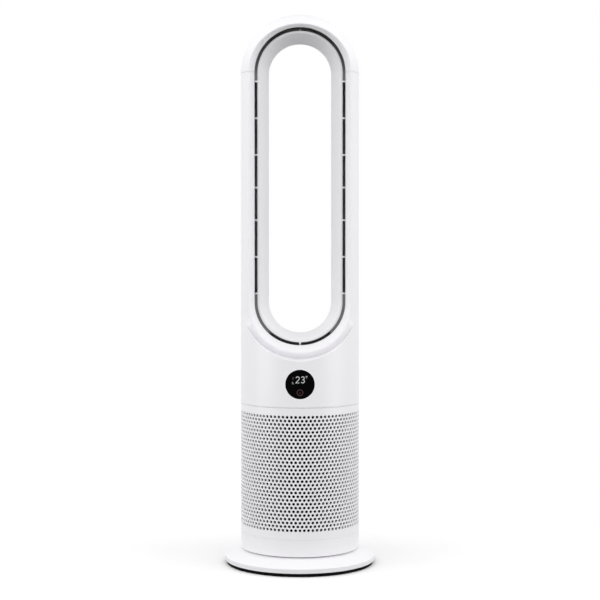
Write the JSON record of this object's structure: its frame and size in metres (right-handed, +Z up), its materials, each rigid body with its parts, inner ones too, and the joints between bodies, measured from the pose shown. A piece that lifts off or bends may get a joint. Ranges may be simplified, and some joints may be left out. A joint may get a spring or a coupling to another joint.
{
  "type": "bladeless tower fan",
  "caption": "White bladeless tower fan: a round base, a turning drum with perforated inlet covers and filters, and a tall loop that blows air from a slot round its front.",
  "frame": {"origin": "under the middle of the base, on the surface it stands on", "axes": "+Z up, the display and air slot face -Y, +X to the right seen from the front"},
  "size_m": [0.26, 0.2599, 0.9495],
  "materials": {
    "white_shell": "satin white moulding",
    "liner_plastic": "pale grey moulding",
    "display_glass": "black lens, polished",
    "rubber": "black, matt",
    "steel": "zinc plated",
    "inner_plastic": "dark grey moulding",
    "nylon": "natural nylon",
    "filter_media": "pleated fibre with a carbon face",
    "circuit_board": "solder mask",
    "copper": "enamelled wire",
    "magnet": "dark nickel"
  },
  "bodies": {
    "base": {"foot_ring": "rubber", "base_plate": "steel", "base_cover": "white_shell", "cord_gland": "rubber", "pivot_hub": "steel", "retaining_clip": "steel", "slide_ring": "nylon", "fixed_gear": "nylon", "base_screw_1": "steel", "base_screw_2": "steel", "base_screw_3": "steel", "base_screw_4": "steel"},
    "tower": {"turntable": "inner_plastic", "control_board": "circuit_board", "drive_motor": "steel", "lower_collar": "white_shell", "service_deck": "inner_plastic", "filter_cage": "inner_plastic", "side_rail_left": "inner_plastic", "side_rail_right": "inner_plastic", "motor_bucket": "inner_plastic", "inlet_bellmouth": "inner_plastic", "mount_ring": "rubber", "diffuser": "inner_plastic", "bearing_lower": "steel", "bearing_upper": "steel", "motor_stator": "steel", "motor_winding": "copper", "motor_cap": "inner_plastic", "top_deck": "white_shell", "front_shell": "white_shell", "rear_shell": "white_shell", "arch_cap": "white_shell", "liner_arch": "liner_plastic", "liner_bowl": "liner_plastic", "liner_left": "liner_plastic", "liner_right": "liner_plastic", "display_lens": "display_glass", "display_frame": "inner_plastic", "display_board": "circuit_board", "head_screw_1": "steel", "head_screw_2": "steel", "head_screw_3": "steel", "head_screw_4": "steel"},
    "pinion": {"drive_pinion": "nylon"},
    "rotor": {"impeller": "nylon", "motor_shaft": "steel", "rotor_magnet": "magnet", "impeller_nut": "steel"},
    "front_inlet": {"front_cover": "white_shell", "front_filter": "filter_media"},
    "rear_inlet": {"rear_cover": "white_shell", "rear_filter": "filter_media"}
  },
  "joints": [
    {"name": "tower_turn", "type": "hinge", "parent": "base", "child": "tower", "pos_m": [0, 0, 0.027], "axis": [0, 0, 1], "range_deg": [-40, 40]},
    {"name": "pinion_spin", "type": "hinge", "parent": "tower", "child": "pinion", "pos_m": [0.0362, 0, 0.0157], "axis": [0, 0, 1], "range_deg": [-120, 120]},
    {"name": "impeller_spin", "type": "hinge", "parent": "tower", "child": "rotor", "pos_m": [0, 0, 0.125], "axis": [0, 0, 1], "continuous": true},
    {"name": "front_cover_pull", "type": "slide", "parent": "tower", "child": "front_inlet", "axis": [0, -1, 0], "range_m": [0, 0.15]},
    {"name": "rear_cover_pull", "type": "slide", "parent": "tower", "child": "rear_inlet", "axis": [0, 1, 0], "range_m": [0, 0.15]}
  ],
  "couplings": [
    {"joint": "pinion_spin", "follows": "tower_turn", "ratio": 3}
  ]
}
